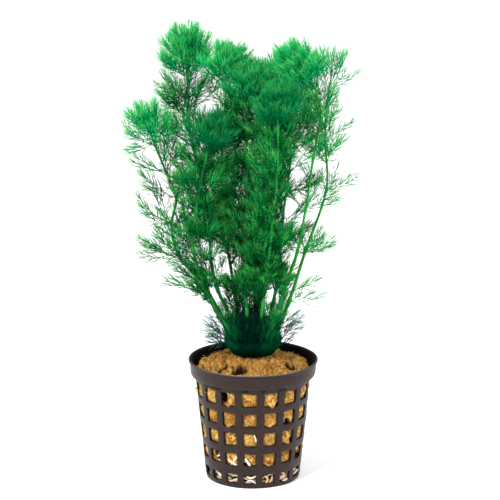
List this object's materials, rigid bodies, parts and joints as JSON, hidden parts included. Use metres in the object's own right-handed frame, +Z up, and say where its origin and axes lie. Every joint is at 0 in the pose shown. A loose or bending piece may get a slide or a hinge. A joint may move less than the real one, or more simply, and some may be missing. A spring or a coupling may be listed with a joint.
{
  "type": "potted dwarf ambulia",
  "caption": "Bushy aquarium stem plant with whorls of feathery green leaves, rooted in stone wool in a round net pot.",
  "frame": {"origin": "centre of the net pot's underside, on the surface that it stands on", "axes": "+Z up the plant, -Y towards the viewer of the picture, +X to the viewer's right"},
  "size_m": [0.1014, 0.076, 0.1946],
  "materials": {
    "pot_plastic": "satin dark brown moulded plastic",
    "stone_wool": "tan fibrous stone wool",
    "roots": "pale curly roots",
    "stems": "soft green stem",
    "whorl_leaves": "finely divided green leaves",
    "crown_leaves": "finely divided bright green leaves",
    "tuft": "dark blue-green basal leaves"
  },
  "bodies": {
    "root": {"basal_tuft": "tuft", "net_pot": "pot_plastic", "rockwool": "stone_wool", "root_mat": "roots", "stem_01": "stems", "stem_01_crown": "crown_leaves", "stem_01_whorl_1": "whorl_leaves", "stem_01_whorl_2": "whorl_leaves", "stem_01_whorl_3": "whorl_leaves", "stem_01_whorl_4": "whorl_leaves", "stem_01_whorl_5": "whorl_leaves", "stem_02": "stems", "stem_02_crown": "crown_leaves", "stem_02_whorl_1": "whorl_leaves", "stem_02_whorl_2": "whorl_leaves", "stem_02_whorl_3": "whorl_leaves", "stem_02_whorl_4": "whorl_leaves", "stem_02_whorl_5": "whorl_leaves", "stem_03": "stems", "stem_03_crown": "crown_leaves", "stem_03_whorl_1": "whorl_leaves", "stem_03_whorl_2": "whorl_leaves", "stem_03_whorl_3": "whorl_leaves", "stem_04": "stems", "stem_04_crown": "crown_leaves", "stem_04_whorl_1": "whorl_leaves", "stem_04_whorl_2": "whorl_leaves", "stem_04_whorl_3": "whorl_leaves", "stem_05": "stems", "stem_05_crown": "crown_leaves", "stem_05_whorl_1": "whorl_leaves", "stem_05_whorl_2": "whorl_leaves", "stem_05_whorl_3": "whorl_leaves", "stem_06": "stems", "stem_06_crown": "crown_leaves", "stem_06_whorl_1": "whorl_leaves", "stem_06_whorl_2": "whorl_leaves", "stem_06_whorl_3": "whorl_leaves", "stem_07": "stems", "stem_07_crown": "crown_leaves", "stem_07_whorl_1": "whorl_leaves", "stem_07_whorl_2": "whorl_leaves", "stem_07_whorl_3": "whorl_leaves", "stem_08": "stems", "stem_08_crown": "crown_leaves", "stem_08_whorl_1": "whorl_leaves", "stem_08_whorl_2": "whorl_leaves", "stem_08_whorl_3": "whorl_leaves", "stem_09": "stems", "stem_09_crown": "crown_leaves", "stem_09_whorl_1": "whorl_leaves", "stem_09_whorl_2": "whorl_leaves", "stem_09_whorl_3": "whorl_leaves", "stem_09_whorl_4": "whorl_leaves", "stem_10": "stems", "stem_10_crown": "crown_leaves", "stem_10_whorl_1": "whorl_leaves", "stem_10_whorl_2": "whorl_leaves", "stem_10_whorl_3": "whorl_leaves", "stem_10_whorl_4": "whorl_leaves"}
  },
  "joints": []
}
